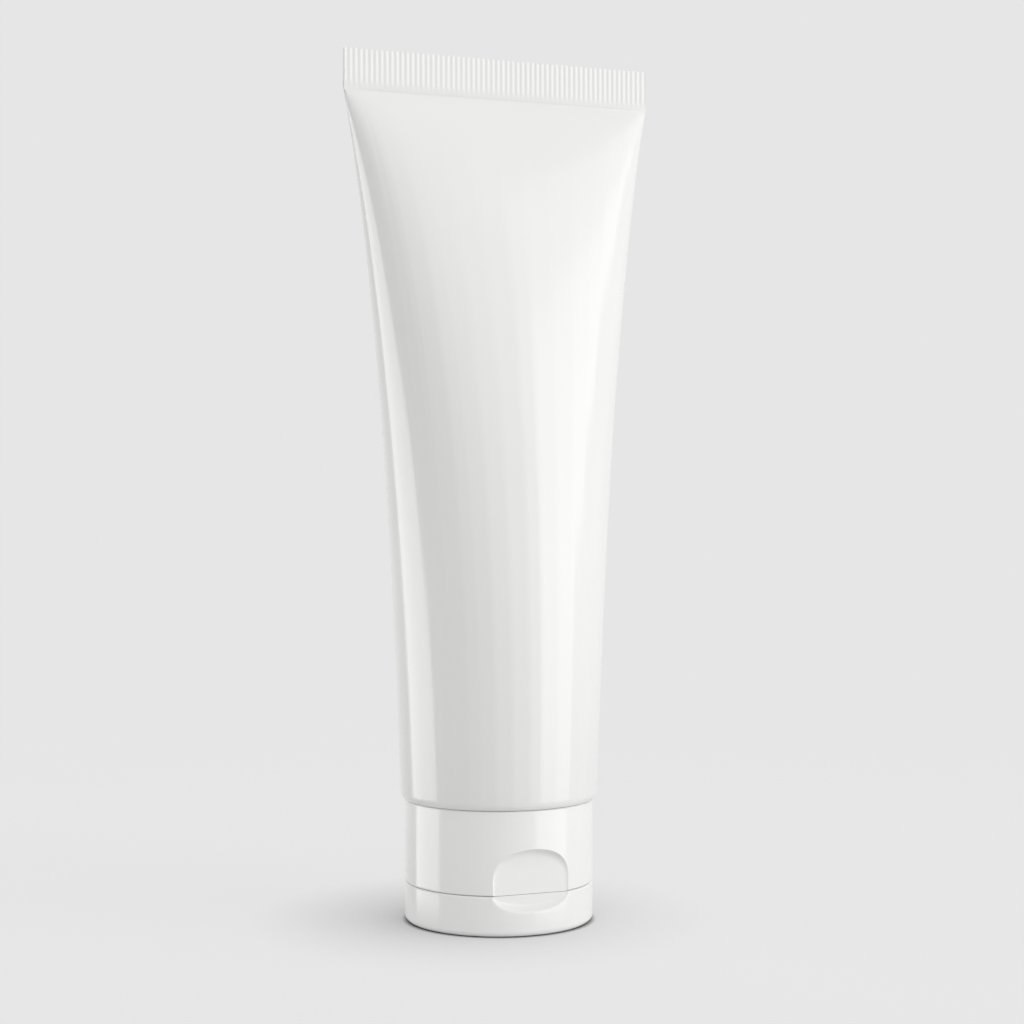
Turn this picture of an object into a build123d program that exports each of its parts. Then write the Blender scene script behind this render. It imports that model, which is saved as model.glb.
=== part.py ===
from build123d import *
import math
import os

# A full plastic squeeze tube that stands on its flip-top closure.
# Millimetres. Z points up from the floor, the crimp lies along X, and the
# thumb recess of the closure faces -Y. The origin is the middle of the lid's foot.

# Heights that stack up from the floor
LID_HEIGHT = 5.995
PARTING_GAP = 0.06
BASE_HEIGHT = 12.445
SHOULDER_GAP = 0.05
BODY_LENGTH = 106.5
SEAL_HEIGHT = 5.95

# Sleeve
TUBE_OD = 30.0
SLEEVE_WALL = 0.45
END_RADIUS = 1.2
END_FLANGE = 2.1
FREED_GIRTH = 4.65
NECK_IN_LENGTH = 42.0
DEPTH_HOLD = 2.16
DEPTH_FALL = 0.77
FULLNESS = 0.37
FULLNESS_RISE = 3.0
SEAL_CLOSING = 0.5
LOFT_STATIONS = 24
LOFT_CROWDING = 1.5
SECTION_POINTS = 48

# Crimp: a plain band, then upright ribs pressed through both walls
SEAL_PLAIN_BAND = 0.9
SEAL_ROOT = 1.1
SEAL_ROOT_INSET = 0.35
RIB_COUNT = 61
RIB_DEPTH = 0.08

# Moulded head inside the sleeve
SHOULDER_THICKNESS = 1.4
NECK_OD = 15.0
NECK_WALL = 1.5
NECK_END_WALL = 1.2
NECK_ORIFICE = 5.0
NECK_BEAD = 0.45
NECK_BEAD_HEIGHT = 1.6
NECK_BEAD_DROP = 5.5

# Contents
FILL_CLEARANCE = 0.1

# Closure, base and lid
CAP_STEP = 0.65
CAP_WALL = 1.2
CAP_EDGE_RADIUS = 0.3
FOOT_RADIUS = 0.9
DECK_THICKNESS = 1.4
LAND_HEIGHT = 1.0
LAND_WALL = 1.0
LAND_CLEARANCE = 0.25
PAD_CLEARANCE = 0.4
SKIRT_WALL = 1.1
SKIRT_CLEARANCE = 0.1
SKIRT_TOP_CLEARANCE = 1.6
NOZZLE_OD = 6.0
NOZZLE_LENGTH = 3.0
NOZZLE_BORE = 3.0
PLATE_THICKNESS = 1.2
PLUG_CLEARANCE = 0.25
PLUG_ENGAGEMENT = 1.3
PLUG_ROOT_EXTRA = 0.5

# Thumb recess in the base, and the scoop in the lid's rim below it
RECESS_HALF_ANGLE = 25.7
RECESS_HEIGHT = 6.8
RECESS_SIDE = 2.3
RECESS_CORNER_RADIUS = 1.1
RECESS_CORNER_SPREAD = 0.4
RECESS_BACK_WALL = 1.2
RECESS_MARGIN = 1.2
SCOOP_INSET = 0.4
SCOOP_PAST_RECESS = 0.63
SCOOP_DEPTH = 2.3
SCOOP_LIP_RADIUS = 0.5

# Flat for the hinge at the rear, and the film that joins lid and base
HINGE_FLAT_HALF_WIDTH = 5.0
HINGE_FLAT_REACH = 4.2
HINGE_FLAT_CORNER = 1.6
HINGE_WALL = 1.4
HINGE_MARGIN = 1.4
WEB_WIDTH = 8.0
WEB_THICKNESS = 0.35
WEB_LENGTH = 0.9
WEB_CLEARANCE = 0.04

# Heights and radii that follow
TUBE_R = TUBE_OD / 2
CAP_R = TUBE_R - CAP_STEP
CAP_INNER_R = CAP_R - CAP_WALL
PARTING_Z = LID_HEIGHT + PARTING_GAP / 2
BASE_Z = LID_HEIGHT + PARTING_GAP
BASE_TOP = BASE_Z + BASE_HEIGHT
TUBE_END = BASE_TOP + SHOULDER_GAP
CREASE_Z = TUBE_END + BODY_LENGTH
TUBE_TOP = CREASE_Z + SEAL_HEIGHT
LOFT_START = TUBE_END + END_RADIUS
LOFT_LENGTH = CREASE_Z - LOFT_START
SEAL_HALF = SLEEVE_WALL
DECK_TOP = BASE_Z + DECK_THICKNESS
NECK_R = NECK_OD / 2
NECK_BORE_R = NECK_R - NECK_WALL
SKIRT_BORE_R = NECK_R + SKIRT_CLEARANCE
SHOULDER_Z = TUBE_END + SLEEVE_WALL
SHOULDER_TOP = SHOULDER_Z + SHOULDER_THICKNESS
NECK_BEAD_Z = SHOULDER_Z - NECK_BEAD_DROP
NOZZLE_TIP = BASE_Z - NOZZLE_LENGTH
RECESS_HALF_WIDTH = CAP_R * math.sin(math.radians(RECESS_HALF_ANGLE))
RECESS_Y = -CAP_R * math.cos(math.radians(RECESS_HALF_ANGLE))
RECESS_REACH = CAP_R + RECESS_Y
RECESS_TOP = PARTING_Z + RECESS_HEIGHT
SCOOP_REACH = RECESS_REACH + SCOOP_PAST_RECESS
SCOOP_SPAN = math.sqrt(1 - (RECESS_REACH / SCOOP_REACH) ** 2)
SCOOP_HALF_WIDTH = (RECESS_HALF_WIDTH - SCOOP_INSET) / SCOOP_SPAN
HINGE_Y = math.sqrt(CAP_R**2 - HINGE_FLAT_HALF_WIDTH**2)
FRONT_PAD_Y = RECESS_Y + RECESS_BACK_WALL
REAR_PAD_Y = HINGE_Y - HINGE_WALL
BEYOND = TUBE_OD

# How often the search for a half width halves its range
HALVINGS = 60


def section_ring(half_width, half_depth, fullness):
    """Points round the sleeve: an ellipse whose flanks are filled out by a share."""
    ring = []
    for index in range(SECTION_POINTS):
        turn = math.tau * index / SECTION_POINTS
        along = math.cos(turn)
        across = math.sin(turn)
        x = half_width * along * (1 + fullness * across**2)
        y = half_depth * across * (1 + fullness * along**2)
        ring.append((x, y))
    return ring


def ring_length(half_width, half_depth, fullness):
    """Length round the sleeve, from point to point."""
    ring = section_ring(half_width, half_depth, fullness)
    return sum(math.dist(ring[index - 1], ring[index]) for index in range(SECTION_POINTS))


def half_width_for(girth, half_depth, fullness):
    """Half width at which a flattened sleeve keeps its girth."""
    low, high = 0.0, girth
    for _ in range(HALVINGS):
        middle = (low + high) / 2
        if ring_length(middle, half_depth, fullness) < girth:
            low = middle
        else:
            high = middle
    return low


def sleeve_section(share):
    """Half width, half depth and fullness of the sleeve at a share of its lofted length."""
    round_girth = ring_length(TUBE_R, TUBE_R, 0)
    freed = min(share * LOFT_LENGTH / NECK_IN_LENGTH, 1.0)
    girth = round_girth + FREED_GIRTH * (1 - (1 - freed) ** 2)
    half_depth = TUBE_R * girth / round_girth * (1 - share**DEPTH_HOLD) ** DEPTH_FALL
    half_depth = max(half_depth, SEAL_HALF)
    fullness = FULLNESS * share**FULLNESS_RISE
    return half_width_for(girth, half_depth, fullness), half_depth, fullness


def lofted_body(inset, closing, low, end_radius):
    """The tube's body, its outside moved in by inset, from its rounded end to the crease.

    It starts at the height low and ends below the crease by closing.
    """
    heights = [low]
    shares = [0.0]
    for index in range(LOFT_STATIONS + 1):
        crowded = 1 - (1 - index / LOFT_STATIONS) ** LOFT_CROWDING
        share = crowded * (1 - closing / LOFT_LENGTH)
        heights.append(LOFT_START + share * LOFT_LENGTH)
        shares.append(share)
    sections = []
    for height, share in zip(heights, shares):
        half_width, half_depth, fullness = sleeve_section(share)
        ring = section_ring(half_width - inset, half_depth - inset, fullness)
        sections.append(Plane.XY.offset(height) * make_face(Spline(*ring, periodic=True)))
    body = loft(sections)
    return fillet(body.edges().sort_by(Axis.Z)[0], end_radius)


def seal_band(low, high, rib_depth):
    """A band of the crimp between two heights, with ribs that run through both walls."""
    half_width = sleeve_section(1.0)[0]
    half_pitch = half_width / RIB_COUNT
    front = []
    back = []
    for index in range(2 * RIB_COUNT + 1):
        swing = rib_depth / 2 * (-1) ** index
        x = -half_width + index * half_pitch
        front.append((x, -SEAL_HALF + swing))
        back.append((x, SEAL_HALF + swing))
    outline = Polyline(*front, *reversed(back), close=True)
    return extrude(Plane.XY.offset(low) * make_face(outline), high - low)


def tube_sleeve():
    """Sleeve with its rounded lower end, its filled body and the ribbed crimp."""
    body = lofted_body(0, 0, TUBE_END, END_RADIUS)
    hollow = lofted_body(SLEEVE_WALL, SEAL_CLOSING, SHOULDER_Z, END_RADIUS - SLEEVE_WALL)
    mouth = disc(TUBE_R - END_FLANGE, TUBE_END, SHOULDER_Z)
    top_half_width = sleeve_section(1.0)[0]
    root_half_width = sleeve_section(1 - SEAL_ROOT / LOFT_LENGTH)[0] - SEAL_ROOT_INSET
    plain_top = CREASE_Z + SEAL_PLAIN_BAND
    plain_outline = Polyline(
        (-root_half_width, CREASE_Z - SEAL_ROOT),
        (root_half_width, CREASE_Z - SEAL_ROOT),
        (top_half_width, CREASE_Z),
        (top_half_width, plain_top),
        (-top_half_width, plain_top),
        (-top_half_width, CREASE_Z),
        close=True,
    )
    plain = extrude(Plane.XZ * make_face(plain_outline), SEAL_HALF, both=True)
    ribs = seal_band(plain_top, TUBE_TOP, RIB_DEPTH)
    return body - hollow - mouth + plain + ribs


def disc(radius, low, high):
    """An upright cylinder between two heights."""
    return Pos(0, 0, low) * Cylinder(
        radius, high - low, align=(Align.CENTER, Align.CENTER, Align.MIN)
    )


def turned(points):
    """A solid turned about Z from an outline of radius and height."""
    return revolve(Plane.XZ * make_face(Polyline(*points, close=True)), Axis.Z)


def tube_head():
    """Shoulder and neck, moulded in one and held in the sleeve's rounded end."""
    rim_r = TUBE_R - SLEEVE_WALL
    shoulder = disc(rim_r, SHOULDER_Z, SHOULDER_TOP)
    lower_rim = shoulder.edges().filter_by(GeomType.CIRCLE).sort_by(Axis.Z)[0]
    shoulder = fillet(lower_rim, END_RADIUS - SLEEVE_WALL)
    bead = turned(
        [
            (NECK_R - NECK_BEAD, NECK_BEAD_Z - NECK_BEAD_HEIGHT / 2),
            (NECK_R, NECK_BEAD_Z - NECK_BEAD_HEIGHT / 2),
            (NECK_R + NECK_BEAD, NECK_BEAD_Z),
            (NECK_R, NECK_BEAD_Z + NECK_BEAD_HEIGHT / 2),
            (NECK_R - NECK_BEAD, NECK_BEAD_Z + NECK_BEAD_HEIGHT / 2),
        ]
    )
    neck = disc(NECK_R, DECK_TOP, SHOULDER_Z)
    bore = disc(NECK_BORE_R, DECK_TOP + NECK_END_WALL, SHOULDER_TOP)
    orifice = disc(NECK_ORIFICE / 2, DECK_TOP, SHOULDER_TOP)
    return shoulder + neck + bead - bore - orifice


def cream_fill():
    """The cream, which fills the sleeve and the neck."""
    inset = SLEEVE_WALL + FILL_CLEARANCE
    floor = SHOULDER_TOP + FILL_CLEARANCE
    body = lofted_body(inset, SEAL_ROOT + FILL_CLEARANCE, SHOULDER_Z, END_RADIUS - SLEEVE_WALL)
    below = disc(BEYOND, floor - BEYOND, floor)
    throat_low = DECK_TOP + NECK_END_WALL + FILL_CLEARANCE
    throat = disc(NECK_BORE_R - FILL_CLEARANCE, throat_low, floor)
    return body - below + throat


def in_front_of(y):
    """All the space on the -Y side of a plane."""
    return Pos(0, y, 0) * Box(
        2 * BEYOND, 2 * BEYOND, 4 * BEYOND, align=(Align.CENTER, Align.MAX, Align.CENTER)
    )


def recess_space():
    """What the thumb recess takes from the base: straight sides under a round arch."""
    half_width = RECESS_HALF_WIDTH + RECESS_CORNER_SPREAD
    spring = PARTING_Z + RECESS_SIDE
    outline = make_face(
        [
            EllipticalCenterArc((0, spring), half_width, RECESS_TOP - spring, arc_size=180),
            Line((-half_width, spring), (-half_width, 0)),
            Line((-half_width, 0), (half_width, 0)),
            Line((half_width, 0), (half_width, spring)),
        ]
    )
    space = extrude(Plane.XZ.offset(-RECESS_Y) * outline, BEYOND)
    deep_face = space.faces().sort_by(Axis.Y)[-1]
    deep_edges = deep_face.edges().sort_by(Axis.Z)[1:]
    return fillet(deep_edges, RECESS_CORNER_RADIUS)


def scoop_space():
    """What the scoop takes from the lid's rim: part of an oval bowl below the recess."""
    bowl = scale(Sphere(1), by=(SCOOP_HALF_WIDTH, SCOOP_REACH, SCOOP_DEPTH))
    return Pos(0, -CAP_R, PARTING_Z) * bowl & in_front_of(RECESS_Y)


def is_scoop_lip(edge):
    """Whether an edge of the lid is where the scoop meets the round outside."""
    middle = edge.center()
    return edge.geom_type == GeomType.BSPLINE and middle.Z < LID_HEIGHT and middle.Y < RECESS_Y


def hinge_flat_space():
    """What the hinge's flat takes off the round at the rear."""
    outline = RectangleRounded(
        2 * HINGE_FLAT_HALF_WIDTH, 2 * HINGE_FLAT_REACH, HINGE_FLAT_CORNER
    )
    face = Plane.XZ.offset(-HINGE_Y) * (Pos(0, PARTING_Z) * outline)
    return extrude(face, -BEYOND)


def hinge_gap():
    """The slot between lid and base behind which the film bends."""
    return Pos(0, REAR_PAD_Y - PAD_CLEARANCE / 2, PARTING_Z) * Box(
        WEB_WIDTH + 2 * WEB_CLEARANCE, BEYOND, WEB_LENGTH,
        align=(Align.CENTER, Align.MIN, Align.CENTER),
    )


def front_pad():
    """Thicker wall behind the thumb recess."""
    top = RECESS_TOP + RECESS_MARGIN
    return in_front_of(FRONT_PAD_Y) & (
        Pos(0, 0, top) * Box(
            2 * (RECESS_HALF_WIDTH + RECESS_MARGIN), 2 * BEYOND, 2 * top,
            align=(Align.CENTER, Align.CENTER, Align.MAX),
        )
    )


def rear_pad():
    """Thicker wall inside the hinge's flat."""
    top = PARTING_Z + HINGE_FLAT_REACH + HINGE_MARGIN
    return Pos(0, REAR_PAD_Y, top) * Box(
        2 * (HINGE_FLAT_HALF_WIDTH + HINGE_MARGIN), BEYOND, 2 * top,
        align=(Align.CENTER, Align.MIN, Align.MAX),
    )


def land(radius, front, rear, low, high):
    """The step under the deck, cut flat where the lid's wall is thicker."""
    return disc(radius, low, high) & (
        Pos(0, front, low) * Box(
            2 * BEYOND, rear - front, high - low,
            align=(Align.CENTER, Align.MIN, Align.MIN),
        )
    )


def cap_base():
    """Closure base: skirt, deck with nozzle and land, and the ring that grips the neck."""
    skirt = disc(CAP_R, BASE_Z, BASE_TOP)
    skirt = fillet(skirt.edges().filter_by(GeomType.CIRCLE), CAP_EDGE_RADIUS)
    hollow = disc(CAP_INNER_R, DECK_TOP, BASE_TOP) - front_pad() - rear_pad()
    shell = skirt - hollow - recess_space() - hinge_flat_space() - hinge_gap()
    land_r = CAP_INNER_R - LAND_CLEARANCE
    land_front = FRONT_PAD_Y + PAD_CLEARANCE
    land_rear = REAR_PAD_Y - PAD_CLEARANCE
    land_low = BASE_Z - LAND_HEIGHT
    step = land(land_r, land_front, land_rear, land_low, BASE_Z) - land(
        land_r - LAND_WALL, land_front + LAND_WALL, land_rear - LAND_WALL, land_low, BASE_Z
    )
    skirt_top = SHOULDER_Z - SKIRT_TOP_CLEARANCE
    grip = disc(SKIRT_BORE_R + NECK_BEAD + SKIRT_WALL, DECK_TOP, skirt_top)
    groove = turned(
        [
            (SKIRT_BORE_R - SKIRT_WALL, NECK_BEAD_Z - NECK_BEAD_HEIGHT / 2 - SKIRT_CLEARANCE),
            (SKIRT_BORE_R, NECK_BEAD_Z - NECK_BEAD_HEIGHT / 2 - SKIRT_CLEARANCE),
            (SKIRT_BORE_R + NECK_BEAD, NECK_BEAD_Z),
            (SKIRT_BORE_R, NECK_BEAD_Z + NECK_BEAD_HEIGHT / 2 + SKIRT_CLEARANCE),
            (SKIRT_BORE_R - SKIRT_WALL, NECK_BEAD_Z + NECK_BEAD_HEIGHT / 2 + SKIRT_CLEARANCE),
        ]
    )
    grip = grip - disc(SKIRT_BORE_R, DECK_TOP, skirt_top) - groove
    nozzle = disc(NOZZLE_OD / 2, NOZZLE_TIP, BASE_Z)
    bore = disc(NOZZLE_BORE / 2, NOZZLE_TIP, DECK_TOP)
    return shell + step + grip + nozzle - bore


def flip_lid():
    """Lid: flat foot, wall with the scoop, and the plug that closes the nozzle."""
    rounded = disc(CAP_R, 0, LID_HEIGHT)
    rounded = fillet(rounded.edges().filter_by(GeomType.CIRCLE).sort_by(Axis.Z)[0], FOOT_RADIUS)
    rounded = fillet(rounded.edges().filter_by(GeomType.CIRCLE).sort_by(Axis.Z)[-1], CAP_EDGE_RADIUS)
    scooped = disc(CAP_R, 0, LID_HEIGHT) - scoop_space()
    lip = [edge for edge in scooped.edges() if is_scoop_lip(edge)]
    outside = rounded & fillet(lip, SCOOP_LIP_RADIUS)
    hollow = disc(CAP_INNER_R, PLATE_THICKNESS, LID_HEIGHT) - front_pad() - rear_pad()
    shell = outside - hollow - hinge_flat_space() - hinge_gap()
    plug_r = NOZZLE_BORE / 2 - PLUG_CLEARANCE
    plug_top = NOZZLE_TIP + PLUG_ENGAGEMENT
    plug = turned(
        [
            (0, PLATE_THICKNESS),
            (plug_r + PLUG_ROOT_EXTRA, PLATE_THICKNESS),
            (plug_r, (PLATE_THICKNESS + NOZZLE_TIP) / 2),
            (plug_r, plug_top - PLUG_CLEARANCE),
            (plug_r - PLUG_CLEARANCE, plug_top),
            (0, plug_top),
        ]
    )
    return shell + plug


def hinge_web():
    """The thin film that joins lid and base at the rear and bends when the lid opens."""
    return Pos(0, HINGE_Y, PARTING_Z + WEB_LENGTH / 2) * Box(
        WEB_WIDTH, WEB_THICKNESS, WEB_LENGTH - WEB_CLEARANCE,
        align=(Align.CENTER, Align.MAX, Align.MAX),
    )


NODES = {
    "tube_sleeve": tube_sleeve,
    "tube_head": tube_head,
    "cream_fill": cream_fill,
    "cap_base": cap_base,
    "flip_lid": flip_lid,
    "hinge_web": hinge_web,
}

os.makedirs("parts", exist_ok=True)
for name, build in NODES.items():
    export_step(build(), f"parts/{name}.step")
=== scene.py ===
import functools
import math

import bpy
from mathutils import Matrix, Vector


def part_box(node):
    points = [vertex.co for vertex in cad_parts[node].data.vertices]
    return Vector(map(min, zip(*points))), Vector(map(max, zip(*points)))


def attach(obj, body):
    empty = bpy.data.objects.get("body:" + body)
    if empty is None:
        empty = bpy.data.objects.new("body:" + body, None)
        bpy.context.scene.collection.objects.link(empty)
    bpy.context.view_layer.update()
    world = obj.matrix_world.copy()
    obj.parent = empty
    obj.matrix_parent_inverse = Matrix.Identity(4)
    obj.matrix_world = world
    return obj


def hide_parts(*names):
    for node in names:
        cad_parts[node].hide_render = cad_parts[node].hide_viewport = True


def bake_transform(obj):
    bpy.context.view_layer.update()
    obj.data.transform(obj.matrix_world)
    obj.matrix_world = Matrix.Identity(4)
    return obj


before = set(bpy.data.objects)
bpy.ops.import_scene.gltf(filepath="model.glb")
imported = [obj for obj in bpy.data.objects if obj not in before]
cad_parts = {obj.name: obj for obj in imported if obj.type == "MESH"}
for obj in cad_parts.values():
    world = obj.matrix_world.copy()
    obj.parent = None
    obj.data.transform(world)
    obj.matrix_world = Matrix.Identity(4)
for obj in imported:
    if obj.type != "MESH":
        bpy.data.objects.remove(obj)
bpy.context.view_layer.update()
MM = 0.001


# Head
# The shoulder and neck that the sleeve is welded to, moulded in natural white
# polyethylene. It is left matt from the mould, and the closure hides it.

plastic_ior = 1.5


def maths(tree, operation, *terms):
    """Works out one number in a node tree from others, each a socket or a fixed value."""
    node = tree.nodes.new("ShaderNodeMath")
    node.operation = operation
    for entry, term in zip(node.inputs, terms):
        if isinstance(term, bpy.types.NodeSocket):
            tree.links.new(term, entry)
        else:
            entry.default_value = term
    return node.outputs["Value"]


def moulded_finish():
    """Node group for pale plastic: a slow drift of tone, uneven gloss and a fine orange peel."""
    group = bpy.data.node_groups.new("moulded_finish", "ShaderNodeTree")
    socket = group.interface.new_socket
    for name in ("Pale", "Deep"):
        socket(name, in_out="INPUT", socket_type="NodeSocketColor")
    for name in ("Drift Scale", "Peel Scale", "Peel Height", "Smooth", "Rough"):
        socket(name, in_out="INPUT", socket_type="NodeSocketFloat")
    socket("Color", in_out="OUTPUT", socket_type="NodeSocketColor")
    for name in ("Roughness", "Height"):
        socket(name, in_out="OUTPUT", socket_type="NodeSocketFloat")
    nodes = group.nodes
    link = group.links.new
    given = nodes.new("NodeGroupInput")
    place = nodes.new("ShaderNodeTexCoord")
    drift = nodes.new("ShaderNodeTexNoise")
    link(place.outputs["Object"], drift.inputs["Vector"])
    link(given.outputs["Drift Scale"], drift.inputs["Scale"])
    tone = nodes.new("ShaderNodeMix")
    tone.data_type = "RGBA"
    link(drift.outputs["Fac"], tone.inputs["Factor"])
    link(given.outputs["Deep"], tone.inputs["A"])
    link(given.outputs["Pale"], tone.inputs["B"])
    gloss = nodes.new("ShaderNodeMix")
    link(drift.outputs["Fac"], gloss.inputs["Factor"])
    link(given.outputs["Smooth"], gloss.inputs["A"])
    link(given.outputs["Rough"], gloss.inputs["B"])
    peel = nodes.new("ShaderNodeTexNoise")
    link(place.outputs["Object"], peel.inputs["Vector"])
    link(given.outputs["Peel Scale"], peel.inputs["Scale"])
    height = maths(group, "MULTIPLY", peel.outputs["Fac"], given.outputs["Peel Height"])
    out = nodes.new("NodeGroupOutput")
    link(tone.outputs["Result"], out.inputs["Color"])
    link(gloss.outputs["Result"], out.inputs["Roughness"])
    link(height, out.inputs["Height"])
    return group


finish_group = moulded_finish()


def plastic(name, pale, deep, peel_height, smooth, rough, drift_scale=60, peel_scale=1800):
    """A pale plastic with its own tones, gloss and surface texture."""
    material = bpy.data.materials.new(name)
    material.use_nodes = True
    nodes = material.node_tree.nodes
    link = material.node_tree.links.new
    shader = nodes["Principled BSDF"]
    shader.inputs["IOR"].default_value = plastic_ior
    finish = nodes.new("ShaderNodeGroup")
    finish.node_tree = finish_group
    finish.inputs["Pale"].default_value = (*pale, 1)
    finish.inputs["Deep"].default_value = (*deep, 1)
    finish.inputs["Drift Scale"].default_value = drift_scale
    finish.inputs["Peel Scale"].default_value = peel_scale
    finish.inputs["Peel Height"].default_value = peel_height
    finish.inputs["Smooth"].default_value = smooth
    finish.inputs["Rough"].default_value = rough
    bump = nodes.new("ShaderNodeBump")
    link(finish.outputs["Height"], bump.inputs["Height"])
    link(finish.outputs["Color"], shader.inputs["Base Color"])
    link(finish.outputs["Roughness"], shader.inputs["Roughness"])
    link(bump.outputs["Normal"], shader.inputs["Normal"])
    return material


def dress(piece, material):
    """Gives a piece its one material."""
    piece.data.materials.clear()
    piece.data.materials.append(material)
    return piece


head_plastic = plastic(
    "head_plastic", (0.80, 0.80, 0.79), (0.77, 0.77, 0.755), 0.02 * MM, 0.5, 0.62
)
dress(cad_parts["tube_head"], head_plastic)


# Sleeve
# An extruded polyethylene sleeve, white all through. Its round end is welded over the
# head, and the other end is pressed flat and sealed by a heated jaw with upright ribs.

tube_radius = 15.0 * MM
sleeve_wall = 0.45 * MM
end_radius = 1.2 * MM
end_reach = 0.75 * MM
end_flange = 2.1 * MM
freed_girth = 4.65 * MM
neck_in_length = 42.0 * MM
depth_hold = 2.16
depth_fall = 0.77
flank_fullness = 0.37
fullness_rise = 3.0
section_points = 48
section_halvings = 50
seal_height = 5.95 * MM
seal_closing = 0.5 * MM
crease_depth = 0.055 * MM
ring_points = 192
ring_crowding = 1.5
outer_rings = 84
inner_rings = 28
corner_rings = 6
least_depth = 0.001 * MM
smooth_angle = math.radians(35)

sleeve_low, sleeve_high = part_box("tube_sleeve")
tube_end = sleeve_low.z
crease_z = sleeve_high.z - seal_height
loft_start = tube_end + end_radius
loft_length = crease_z - loft_start
seal_half = sleeve_wall


def ring_length(half_width, half_depth, fullness):
    """Length round the sleeve: an ellipse whose flanks are filled out by a share."""
    ring = []
    for index in range(section_points):
        turn = math.tau * index / section_points
        along = math.cos(turn)
        across = math.sin(turn)
        x = half_width * along * (1 + fullness * across**2)
        y = half_depth * across * (1 + fullness * along**2)
        ring.append((x, y))
    return sum(math.dist(ring[index - 1], ring[index]) for index in range(section_points))


@functools.cache
def sleeve_section(share):
    """Half width, half depth and fullness of the flattening sleeve at a share of its height."""
    round_girth = ring_length(tube_radius, tube_radius, 0)
    freed = min(share * loft_length / neck_in_length, 1.0)
    girth = round_girth + freed_girth * (1 - (1 - freed) ** 2)
    half_depth = tube_radius * girth / round_girth * (1 - share**depth_hold) ** depth_fall
    half_depth = max(half_depth, seal_half)
    fullness = flank_fullness * share**fullness_rise
    low, high = 0.0, girth
    for _ in range(section_halvings):
        half_width = (low + high) / 2
        if ring_length(half_width, half_depth, fullness) < girth:
            low = half_width
        else:
            high = half_width
    return half_width, half_depth, fullness


def crowded(share):
    """A share of the height, moved up so that even steps grow shorter towards the crimp."""
    return 1 - (1 - share) ** ring_crowding


def fresh_start():
    """Leaves nothing selected, so that the next operator works on the next piece alone."""
    if bpy.context.mode != "OBJECT":
        bpy.ops.object.mode_set(mode="OBJECT")
    bpy.ops.object.select_all(action="DESELECT")


class RingStack:
    """A tube in the making: a filled ring that is extruded upwards or downwards and resized."""

    def __init__(self, half_width, half_depth, z):
        fresh_start()
        bpy.ops.mesh.primitive_circle_add(
            vertices=ring_points, radius=1.0, location=(0, 0, z)
        )
        bpy.ops.object.transform_apply(location=True, rotation=True, scale=True)
        bpy.ops.object.mode_set(mode="EDIT")
        bpy.ops.mesh.select_all(action="SELECT")
        bpy.ops.transform.resize(
            value=(half_width, half_depth, 1), center_override=(0, 0, z)
        )
        bpy.ops.mesh.edge_face_add()
        self.half_width = half_width
        self.half_depth = half_depth
        self.z = z

    def ring(self, half_width, half_depth, z):
        """The next ring, drawn out of the last one."""
        bpy.ops.mesh.extrude_region_move(
            TRANSFORM_OT_translate={"value": (0, 0, z - self.z)}
        )
        bpy.ops.transform.resize(
            value=(half_width / self.half_width, half_depth / self.half_depth, 1),
            center_override=(0, 0, z),
        )
        self.half_width = half_width
        self.half_depth = half_depth
        self.z = z

    def round_ring(self, radius, z):
        """The next ring, where the tube is round."""
        self.ring(radius, radius, z)

    def finish(self, name):
        """Fills the last ring, turns the faces outwards and gives the tube its name."""
        bpy.ops.mesh.edge_face_add()
        bpy.ops.mesh.select_all(action="SELECT")
        bpy.ops.mesh.normals_make_consistent(inside=False)
        bpy.ops.object.mode_set(mode="OBJECT")
        tube = bpy.context.object
        tube.name = name
        return tube


def fill_flanks(tube, insets):
    """Fills out the flanks of a tube's oval rings, which lie inside the outline by an inset."""
    for vertex in tube.data.vertices:
        share = min((vertex.co.z - loft_start) / loft_length, 1.0)
        if share <= 0:
            continue
        half_width, half_depth, fullness = sleeve_section(share)
        x, y = vertex.co.x, vertex.co.y
        spots = []
        for inset in insets:
            depth_here = max(half_depth - inset, least_depth)
            spots.append((x / (half_width - inset), y / depth_here))
        along, across = min(spots, key=lambda spot: abs(math.hypot(*spot) - 1))
        vertex.co.x = x * (1 + fullness * across**2)
        vertex.co.y = y * (1 + fullness * along**2)


# The hollow is drawn downwards from just under the crimp, round the corner at the
# shoulder to the flange, and from there the outside is drawn upwards to the crimp.
inner_end = 1 - seal_closing / loft_length
top_width, top_depth, _ = sleeve_section(inner_end)
stack = RingStack(
    top_width - sleeve_wall, top_depth - sleeve_wall, loft_start + inner_end * loft_length
)
for index in reversed(range(inner_rings)):
    share = inner_end * crowded(index / inner_rings)
    half_width, half_depth, _ = sleeve_section(share)
    stack.ring(
        half_width - sleeve_wall, half_depth - sleeve_wall, loft_start + share * loft_length
    )
inner_corner = end_radius - sleeve_wall
corner_centre = tube_radius - end_radius
for index in range(1, corner_rings + 1):
    turn = math.pi / 2 * index / corner_rings
    reach = corner_centre + inner_corner * math.cos(turn)
    stack.round_ring(reach, loft_start - inner_corner * math.sin(turn))
flange_radius = tube_radius - end_flange
stack.round_ring(flange_radius, tube_end + sleeve_wall)
stack.round_ring(flange_radius, tube_end)
for index in range(corner_rings + 1):
    turn = math.pi / 2 * (1 - index / corner_rings)
    reach = tube_radius - end_reach * (1 - math.cos(turn))
    stack.round_ring(reach, loft_start - end_radius * math.sin(turn))
for index in range(1, outer_rings + 1):
    share = crowded(index / outer_rings)
    half_width, half_depth, _ = sleeve_section(share)
    if index == outer_rings - 1:
        half_depth -= crease_depth
    stack.ring(half_width, half_depth, loft_start + share * loft_length)
sleeve = stack.finish("sleeve")
fill_flanks(sleeve, (0, sleeve_wall))

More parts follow.
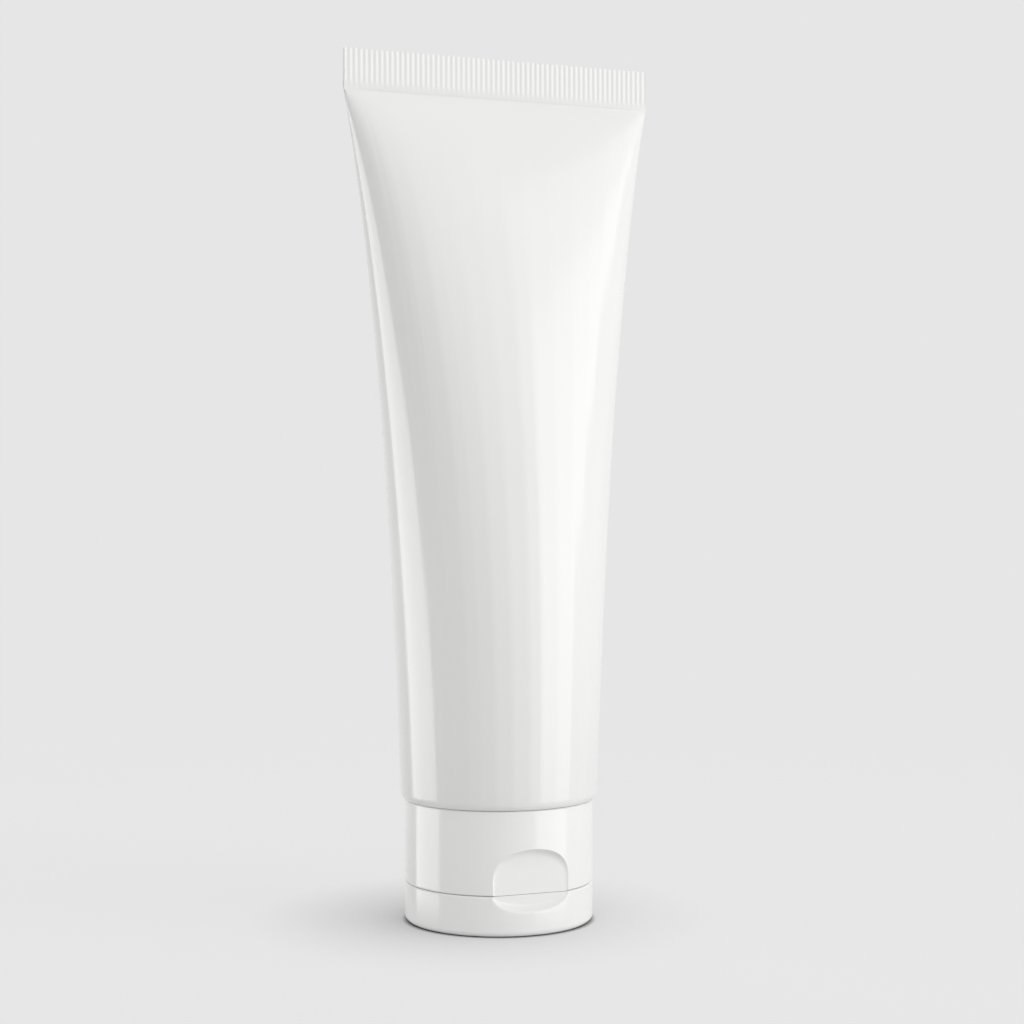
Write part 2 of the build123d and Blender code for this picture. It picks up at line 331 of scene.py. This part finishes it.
# One pitch of the crimp is a plate with a plain foot, whose upper part swings to the
# front and back. An array lays the pitches side by side.
seal_plain_band = 0.9 * MM
seal_root = 1.1 * MM
seal_root_inset = 0.35 * MM
crease_lip = 0.06 * MM
root_share = 0.72
rib_count = 61
rib_depth = 0.055 * MM
rib_fade = 0.25 * MM
rib_cuts = 7
row_merge = 0.01 * MM
end_facing = 0.9

seal_half_width = sleeve_high.x
rib_pitch = 2 * seal_half_width / rib_count
seal_foot = crease_z - seal_root
seal_plain_top = crease_z + seal_plain_band


def pick(piece, kind, wanted):
    """Leaves a piece in edit mode with only the wanted edges or faces selected."""
    bpy.ops.object.mode_set(mode="EDIT")
    bpy.ops.mesh.select_mode(type=kind)
    bpy.ops.mesh.select_all(action="DESELECT")
    bpy.ops.object.mode_set(mode="OBJECT")
    elements = piece.data.edges if kind == "EDGE" else piece.data.polygons
    for element in elements:
        element.select = wanted(element)
    bpy.ops.object.mode_set(mode="EDIT")


def runs_along_row(edge):
    """Whether an edge of the crimp's plate runs from one side of the pitch to the other."""
    ends = [crimp.data.vertices[index].co for index in edge.vertices]
    return abs(ends[0].x - ends[1].x) > rib_pitch / 2


fresh_start()
bpy.ops.mesh.primitive_cube_add(
    size=1,
    location=(rib_pitch / 2 - seal_half_width, 0, (seal_foot + sleeve_high.z) / 2),
    scale=(rib_pitch, 2 * seal_half, sleeve_high.z - seal_foot),
)
bpy.ops.object.transform_apply(location=True, rotation=True, scale=True)
crimp = bpy.context.object
crimp.name = "crimp"
pick(crimp, "EDGE", runs_along_row)
bpy.ops.mesh.subdivide(number_cuts=rib_cuts)
for level in (crease_z - crease_lip, crease_z, seal_plain_top, seal_plain_top + rib_fade):
    bpy.ops.mesh.select_all(action="SELECT")
    bpy.ops.mesh.bisect(plane_co=(0, 0, level), plane_no=(0, 0, 1))
bpy.ops.object.mode_set(mode="OBJECT")
for vertex in crimp.data.vertices:
    if vertex.co.z > seal_plain_top + rib_fade / 2:
        phase = (vertex.co.x + seal_half_width) / rib_pitch * math.tau
        vertex.co.y -= rib_depth / 2 * math.cos(phase)
    elif vertex.co.z < crease_z - crease_lip / 2:
        vertex.co.y *= root_share
pick(crimp, "FACE", lambda face: abs(face.normal.x) > end_facing)
bpy.ops.mesh.delete(type="FACE")
bpy.ops.object.mode_set(mode="OBJECT")
row = crimp.modifiers.new("row", "ARRAY")
row.count = rib_count
row.use_relative_offset = False
row.use_constant_offset = True
row.constant_offset_displace = (rib_pitch, 0, 0)
row.use_merge_vertices = True
row.merge_threshold = row_merge
bpy.ops.object.modifier_apply(modifier="row")

# The row's two open ends are filled, and its foot is drawn in, so that it lies inside
# the sleeve where the two are welded.
bpy.ops.object.mode_set(mode="EDIT")
bpy.ops.mesh.select_mode(type="VERT")
bpy.ops.mesh.select_all(action="SELECT")
bpy.ops.mesh.remove_doubles(threshold=row_merge)
bpy.ops.mesh.select_all(action="DESELECT")
bpy.ops.mesh.select_non_manifold()
bpy.ops.mesh.edge_face_add()
bpy.ops.mesh.select_all(action="SELECT")
bpy.ops.mesh.normals_make_consistent(inside=False)
bpy.ops.object.mode_set(mode="OBJECT")
root_half_width = sleeve_section(1 - seal_root / loft_length)[0] - seal_root_inset
for vertex in crimp.data.vertices:
    if vertex.co.z < crease_z - seal_root / 2:
        vertex.co.x *= root_half_width / seal_half_width

# The weld leaves slivers along its seam, which are merged away.
weld_merge = 0.003 * MM
weld_sliver = 0.001 * MM
fresh_start()
sleeve.select_set(True)
bpy.context.view_layer.objects.active = sleeve
weld = sleeve.modifiers.new("weld", "BOOLEAN")
weld.operation = "UNION"
weld.solver = "EXACT"
weld.object = crimp
bpy.ops.object.modifier_apply(modifier="weld")
bpy.data.objects.remove(crimp)
bpy.ops.object.mode_set(mode="EDIT")
bpy.ops.mesh.select_all(action="SELECT")
bpy.ops.mesh.remove_doubles(threshold=weld_merge)
bpy.ops.mesh.dissolve_degenerate(threshold=weld_sliver)
bpy.ops.object.mode_set(mode="OBJECT")
bpy.ops.object.shade_smooth_by_angle(angle=smooth_angle)

sleeve_plastic = plastic(
    "sleeve_plastic", (0.805, 0.807, 0.797), (0.785, 0.787, 0.775), 0.008 * MM, 0.13, 0.18
)
dress(sleeve, sleeve_plastic)
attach(sleeve, "root")
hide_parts("tube_sleeve")


# Cream
# About 65 ml of smooth pale pink cream fills the sleeve up to the crimp and the neck
# down to its orifice. Its slightly domed end only shows up the nozzle's bore.

fill_clearance = 0.1 * MM
shoulder_thickness = 1.4 * MM
neck_bore_radius = 6.0 * MM
dome_tip_radius = 0.3 * MM
dome_height = 0.5 * MM
first_ring_rise = 0.5 * MM
cream_rings = 40

cream_low, cream_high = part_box("cream_fill")
cream_inset = sleeve_wall + fill_clearance
cream_top = (cream_high.z - loft_start) / loft_length
cream_floor = tube_end + sleeve_wall + shoulder_thickness + fill_clearance
throat_radius = neck_bore_radius - fill_clearance
body_radius = tube_radius - cream_inset

# The domed end comes first, then the throat, the ledge on the shoulder and the body.
stack = RingStack(dome_tip_radius, dome_tip_radius, cream_low.z)
for index in range(1, corner_rings + 1):
    reach = index / corner_rings
    stack.round_ring(throat_radius * reach, cream_low.z + dome_height * reach**2)
stack.round_ring(throat_radius, cream_floor)
stack.round_ring(body_radius, cream_floor)
for index in range(cream_rings + 1):
    share = cream_top * crowded(index / cream_rings)
    z = loft_start + share * loft_length
    if z > cream_floor + first_ring_rise:
        half_width, half_depth, _ = sleeve_section(share)
        stack.ring(half_width - cream_inset, half_depth - cream_inset, z)
cream = stack.finish("cream")
fill_flanks(cream, (cream_inset,))
bpy.ops.object.shade_smooth_by_angle(angle=smooth_angle)

cream_paste = plastic(
    "cream_paste", (0.90, 0.63, 0.61), (0.87, 0.58, 0.56), 0.05 * MM, 0.3, 0.4, peel_scale=500
)
dress(cream, cream_paste)
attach(cream, "root")
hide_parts("cream_fill")


# Closure
# Base and lid are one polypropylene moulding with a film hinge, pushed onto the neck.
# The base keeps the mould's polish, and so does the lid that the tube stands on.

closure_plastic = plastic(
    "closure_plastic", (0.857, 0.86, 0.852), (0.842, 0.845, 0.835), 0.006 * MM, 0.12, 0.17
)
dress(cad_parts["cap_base"], closure_plastic)
dress(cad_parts["flip_lid"], closure_plastic)

# The film is thinned along its middle, where it bends as the lid swings open.
film_steps = 12
film_thinning = 0.1 * MM
film_low, film_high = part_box("hinge_web")
fresh_start()
bpy.ops.mesh.primitive_cube_add(
    size=1, location=(film_low + film_high) / 2, scale=film_high - film_low
)
bpy.ops.object.transform_apply(location=True, rotation=True, scale=True)
film = bpy.context.object
film.name = "hinge_film"
bpy.ops.object.mode_set(mode="EDIT")
for index in range(1, film_steps):
    level = film_low.z + (film_high.z - film_low.z) * index / film_steps
    bpy.ops.mesh.select_all(action="SELECT")
    bpy.ops.mesh.bisect(plane_co=(0, 0, level), plane_no=(0, 0, 1))
bpy.ops.object.mode_set(mode="OBJECT")
for vertex in film.data.vertices:
    height_share = (vertex.co.z - film_low.z) / (film_high.z - film_low.z)
    if vertex.co.y < (film_low.y + film_high.y) / 2:
        vertex.co.y += film_thinning * math.sin(math.pi * height_share)
dress(film, closure_plastic)
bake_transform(film)
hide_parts("hinge_web")


# Floor
# A pale disc that takes the tube's real shadow and fades out into the backdrop. Over that,
# shade is painted into its colour round the foot, deeper on the side away from the main
# light, with a thin painted dark line where the lid stands. The disc is smaller in
# reflections, and from below it isn't seen at all.

floor_solid = 0.09
floor_gone = 0.24
floor_drop = 0.02 * MM
floor_points = 96
floor_glow = 0.58
floor_tone = 0.24
floor_bounce = 0.74
mirrored_shrink = 5
# The painted shade round the foot, and the painted dark line where the lid stands
shade_samples = 8
shade_reach = 0.024
shade_power = 0.5
shade_side = math.radians(46)
shade_lean = 0.35
contact_reach = 0.0008
contact_power = 0.9


def paint_shade(tree, reach, power, facing=None):
    """The share of the floor's view that is open within a reach, bent by a power, which paints
    shade into the floor's colour.
    """
    openness = tree.nodes.new("ShaderNodeAmbientOcclusion")
    openness.samples = shade_samples
    openness.inputs["Distance"].default_value = reach
    if facing:
        tree.links.new(facing, openness.inputs["Normal"])
    return maths(tree, "POWER", openness.outputs["AO"], power)


fresh_start()
bpy.ops.mesh.primitive_circle_add(
    vertices=floor_points, radius=floor_gone, fill_type="NGON", location=(0, 0, -floor_drop)
)
bpy.ops.object.transform_apply(location=True, rotation=True, scale=True)
floor = bpy.context.object
floor.name = "floor"
floor_paint = bpy.data.materials.new("floor_paint")
floor_paint.use_nodes = True
tree = floor_paint.node_tree
nodes = tree.nodes
link = tree.links.new
nodes.clear()
path = nodes.new("ShaderNodeLightPath")

# How far the disc has faded, from the distance to its middle and the side that is seen
place = nodes.new("ShaderNodeTexCoord")
distance = nodes.new("ShaderNodeVectorMath")
distance.operation = "LENGTH"
link(place.outputs["Object"], distance.inputs[0])
shrink = maths(tree, "MULTIPLY_ADD", path.outputs["Is Glossy Ray"], mirrored_shrink, 1)
fade = nodes.new("ShaderNodeMapRange")
fade.interpolation_type = "SMOOTHSTEP"
fade.inputs["From Min"].default_value = floor_solid
fade.inputs["From Max"].default_value = floor_gone
link(maths(tree, "MULTIPLY", distance.outputs["Value"], shrink), fade.inputs["Value"])
side = nodes.new("ShaderNodeNewGeometry")
hidden = maths(tree, "MAXIMUM", fade.outputs["Result"], side.outputs["Backfacing"])

# The wide painted shade round the foot, and the thin painted dark line where the lid stands
lean = nodes.new("ShaderNodeCombineXYZ")
lean.inputs["X"].default_value = shade_lean * math.sin(shade_side)
lean.inputs["Y"].default_value = -shade_lean * math.cos(shade_side)
lean.inputs["Z"].default_value = 1
upright = nodes.new("ShaderNodeVectorMath")
upright.operation = "NORMALIZE"
link(lean.outputs["Vector"], upright.inputs[0])
painted_shade_wide = paint_shade(tree, shade_reach, shade_power, upright.outputs["Vector"])
painted_contact_shade = paint_shade(tree, contact_reach, contact_power)
painted_shade_share = maths(tree, "MULTIPLY", painted_shade_wide, painted_contact_shade)

# The paint, darkened by the painted shade, which glows a little where the camera or a reflection
# sees it; the glow carries the painted shade as well
paint = maths(tree, "MULTIPLY", painted_shade_share, floor_tone)
seen = maths(tree, "MAXIMUM", path.outputs["Is Camera Ray"], path.outputs["Is Glossy Ray"])
bounce = nodes.new("ShaderNodeMix")
bounce.inputs["A"].default_value = floor_bounce
link(seen, bounce.inputs["Factor"])
link(paint, bounce.inputs["B"])
matt = nodes.new("ShaderNodeBsdfDiffuse")
link(bounce.outputs["Result"], matt.inputs["Color"])
glow = nodes.new("ShaderNodeEmission")
link(painted_shade_share, glow.inputs["Color"])
link(maths(tree, "MULTIPLY", seen, floor_glow), glow.inputs["Strength"])
both = nodes.new("ShaderNodeAddShader")
link(matt.outputs["BSDF"], both.inputs[0])
link(glow.outputs["Emission"], both.inputs[1])
clear = nodes.new("ShaderNodeBsdfTransparent")
blend = nodes.new("ShaderNodeMixShader")
link(hidden, blend.inputs["Fac"])
link(both.outputs["Shader"], blend.inputs[1])
link(clear.outputs["BSDF"], blend.inputs[2])
surface = nodes.new("ShaderNodeOutputMaterial")
link(blend.outputs["Shader"], surface.inputs["Surface"])
floor.data.materials.append(floor_paint)


# Light and camera
# A pale room that is brightest high up at the right of the camera, with an even backdrop
# behind the tube. A large softbox stands at the right with a dimmer one above it, and
# another stands at the left, a little behind the tube.

camera_azimuth = -21.61
key_azimuth = camera_azimuth + 68
left_azimuth = camera_azimuth - 98
bright_side = math.radians(camera_azimuth + 65)
bright_height = math.radians(42)
room_low = 0.12
room_high = 1.04
backdrop_tone = 0.791
backdrop_start = 0.45
backdrop_full = 0.95


def looks_toward(tree, generated, direction):
    """How far the room is looked at toward a direction, from -1 to 1."""
    share = tree.nodes.new("ShaderNodeVectorMath")
    share.operation = "DOT_PRODUCT"
    share.inputs[1].default_value = direction
    tree.links.new(generated, share.inputs[0])
    return share.outputs["Value"]


world = bpy.data.worlds.new("room")
bpy.context.scene.world = world
world.use_nodes = True
tree = world.node_tree
nodes = tree.nodes
link = tree.links.new
nodes.clear()
place = nodes.new("ShaderNodeTexCoord")
bright_direction = (
    math.sin(bright_side) * math.cos(bright_height),
    -math.cos(bright_side) * math.cos(bright_height),
    math.sin(bright_height),
)
level = nodes.new("ShaderNodeMapRange")
level.inputs["From Min"].default_value = -1
level.inputs["From Max"].default_value = 1
level.inputs["To Min"].default_value = room_low
level.inputs["To Max"].default_value = room_high
link(looks_toward(tree, place.outputs["Generated"], bright_direction), level.inputs["Value"])
back_direction = (
    -math.sin(math.radians(camera_azimuth)), math.cos(math.radians(camera_azimuth)), 0
)
backdrop = nodes.new("ShaderNodeMapRange")
backdrop.interpolation_type = "SMOOTHSTEP"
backdrop.inputs["From Min"].default_value = backdrop_start
backdrop.inputs["From Max"].default_value = backdrop_full
link(looks_toward(tree, place.outputs["Generated"], back_direction), backdrop.inputs["Value"])
path = nodes.new("ShaderNodeLightPath")
seen = maths(tree, "MAXIMUM", path.outputs["Is Camera Ray"], backdrop.outputs["Result"])
tone = nodes.new("ShaderNodeMix")
tone.inputs["B"].default_value = backdrop_tone
link(seen, tone.inputs["Factor"])
link(level.outputs["Result"], tone.inputs["A"])
room = nodes.new("ShaderNodeBackground")
room.inputs["Color"].default_value = (1, 1, 1, 1)
link(tone.outputs["Result"], room.inputs["Strength"])
out = nodes.new("ShaderNodeOutputWorld")
link(room.outputs["Background"], out.inputs["Surface"])

tube_middle = 65 * MM
softbox_distance = 1.6


def softbox(name, azimuth, lift, width, height, radiance):
    """An upright lamp that faces the tube from an azimuth, of a given brightness."""
    turn = math.radians(azimuth)
    fresh_start()
    bpy.ops.object.light_add(
        type="AREA",
        location=(
            softbox_distance * math.sin(turn),
            -softbox_distance * math.cos(turn),
            tube_middle + lift,
        ),
        rotation=(math.pi / 2, 0, turn),
    )
    lamp = bpy.context.object
    lamp.name = name
    lamp.data.shape = "RECTANGLE"
    lamp.data.size = width
    lamp.data.size_y = height
    lamp.data.energy = radiance * math.pi * width * height


softbox("softbox_right", key_azimuth, lift=0.1, width=1.3, height=1.3, radiance=1.72)
softbox("softbox_right_fade", key_azimuth, lift=1.05, width=1.3, height=0.6, radiance=0.9)
softbox("softbox_left", left_azimuth, lift=0, width=1.26, height=1.05, radiance=2.8)

camera_place = (-112.9 * MM, -290.5 * MM, 65.24 * MM)
camera_dip = 0.57
camera_sensor = 36
camera_lens = 71.66
camera_near = 0.01
fresh_start()
bpy.ops.object.camera_add(
    location=camera_place,
    rotation=(math.radians(90 - camera_dip), 0, math.radians(camera_azimuth)),
)
camera = bpy.context.object
camera.data.sensor_width = camera_sensor
camera.data.lens = camera_lens
camera.data.clip_start = camera_near
bpy.context.scene.camera = camera
bpy.context.scene.view_settings.view_transform = "Standard"
